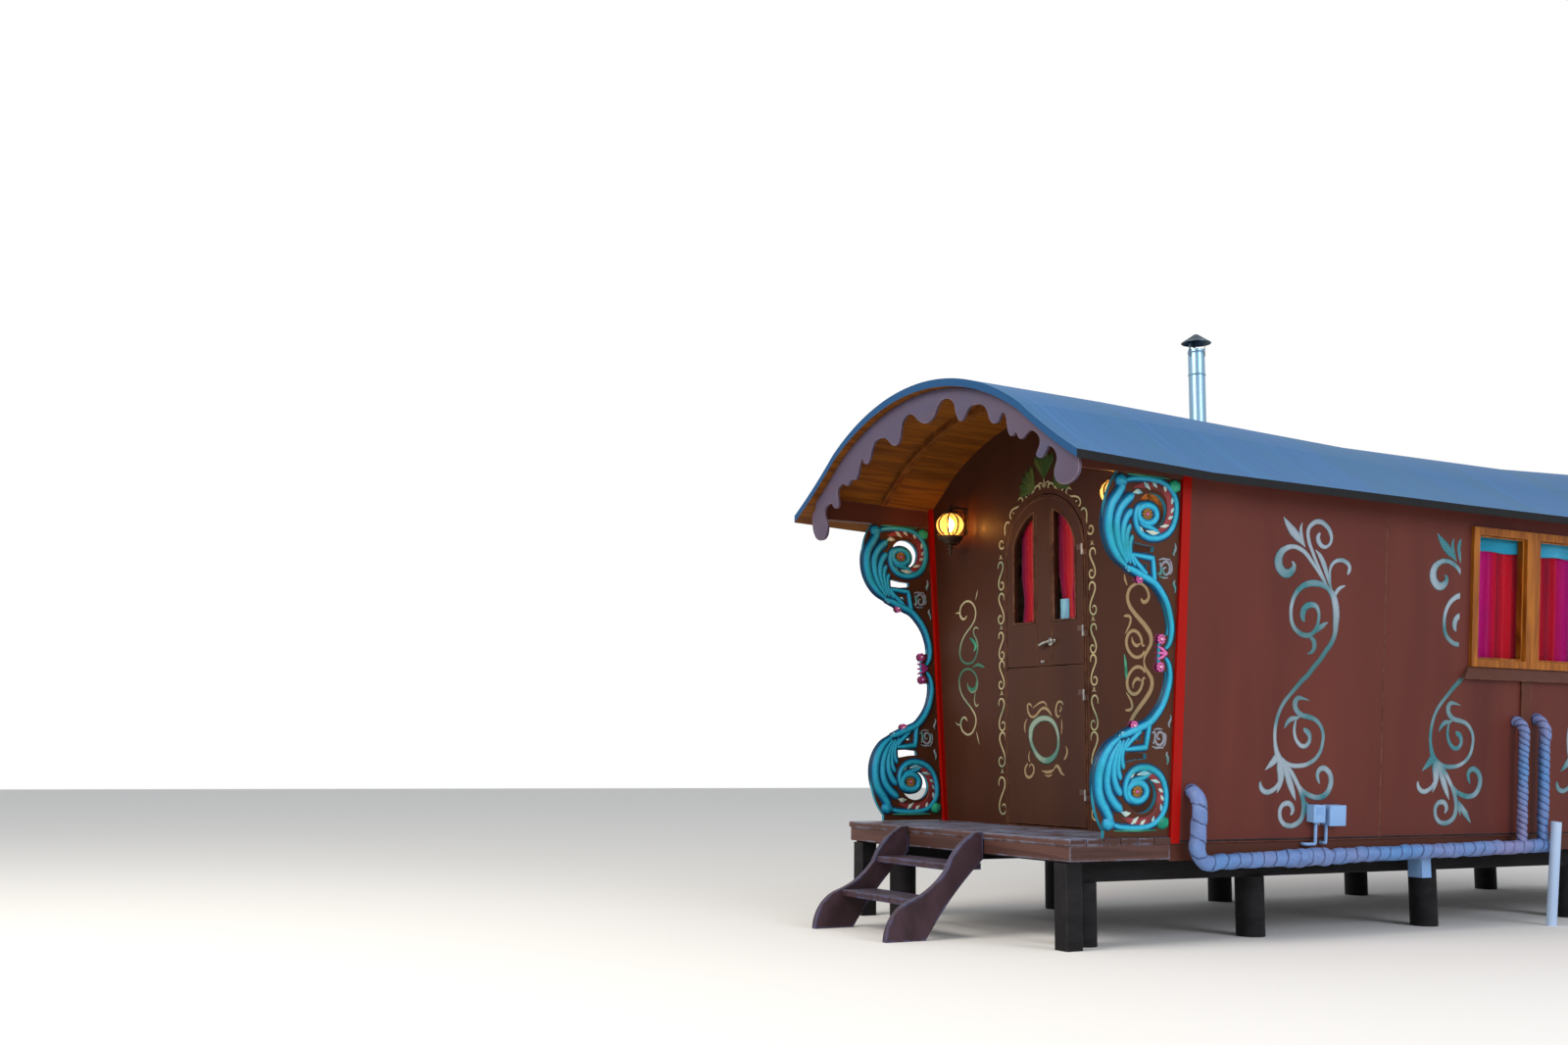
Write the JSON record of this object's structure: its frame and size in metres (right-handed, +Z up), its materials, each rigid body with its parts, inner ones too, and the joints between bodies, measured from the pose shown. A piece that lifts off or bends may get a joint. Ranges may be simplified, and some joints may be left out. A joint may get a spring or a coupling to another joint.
{
  "type": "vardo wagon",
  "caption": "Bow-roofed living wagon on timber posts, with a carved and painted porch, split door, two-light windows, front steps and a flue.",
  "frame": {"origin": "centre of the bounding box, on the ground", "axes": "+Z up, -Y towards the porch and steps, +X towards the side with the pipes and the pictured window"},
  "size_m": [2.86, 7.225, 3.827],
  "materials": {
    "roof_membrane": "weathered blue-grey sheet",
    "varnished_timber": "clear varnish over ochre wood",
    "dark_timber": "dark stained",
    "deck_timber": "worn brown stain",
    "brown_paint": "satin red-brown paint",
    "red_paint": "gloss red paint",
    "turquoise_paint": "gloss turquoise paint",
    "pink_paint": "gloss pink and cream paint",
    "mauve_paint": "satin mauve paint",
    "clear_glass": "clear window glass",
    "lantern_glass": "amber ribbed glass, lit",
    "teal_cloth": "pleated cloth",
    "red_cloth": "striped curtain cloth",
    "brass_fittings": "dull brass",
    "steel_handle": "brushed",
    "stainless_flue": "weathered stainless steel",
    "black_iron": "black painted iron",
    "pipe_lagging": "wrapped foam lagging",
    "white_plastic": "white moulded plastic"
  },
  "bodies": {
    "wagon": {"roof_shell": "roof_membrane", "roof_ribs": "varnished_timber", "underframe": "dark_timber", "posts": "dark_timber", "cabin_floor": "deck_timber", "porch_deck": "deck_timber", "porch_fascia": "brown_paint", "skirts": "brown_paint", "corner_posts": "red_paint", "wall_right": "brown_paint", "wall_left": "brown_paint", "wall_front": "brown_paint", "wall_rear": "brown_paint", "window_frames": "varnished_timber", "window_glass": "clear_glass", "window_sills": "brown_paint", "side_strips": "brown_paint", "curtain_rails": "varnished_timber", "blinds": "teal_cloth", "curtains": "red_cloth", "door_frame": "brown_paint", "hinge_pins": "brass_fittings", "valances": "mauve_paint", "porch_plates": "brown_paint", "bracket_scroll_right": "turquoise_paint", "bracket_scroll_left": "turquoise_paint", "bracket_board_right": "brown_paint", "bracket_board_left": "brown_paint", "bracket_flowers": "pink_paint", "step_stringers": "brown_paint", "step_treads": "deck_timber", "flue_pipe": "stainless_flue", "flue_fittings": "stainless_flue", "lantern_glass": "lantern_glass", "lantern_iron": "black_iron", "lagged_pipes": "pipe_lagging", "waste_pipe": "white_plastic", "service_boxes": "white_plastic"},
    "upper_leaf": {"door_upper": "brown_paint", "door_glass": "clear_glass", "door_curtain": "red_cloth", "door_handle": "steel_handle", "hinges_upper": "brass_fittings"},
    "lower_leaf": {"door_lower": "brown_paint", "hinges_lower": "brass_fittings"}
  },
  "joints": [
    {"name": "upper_leaf_hinge", "type": "hinge", "parent": "wagon", "child": "upper_leaf", "pos_m": [0.366, -2.3045, 1.9], "axis": [0, 0, 1], "range_deg": [0, 100]},
    {"name": "lower_leaf_hinge", "type": "hinge", "parent": "wagon", "child": "lower_leaf", "pos_m": [0.366, -2.3045, 1], "axis": [0, 0, 1], "range_deg": [0, 100]}
  ]
}
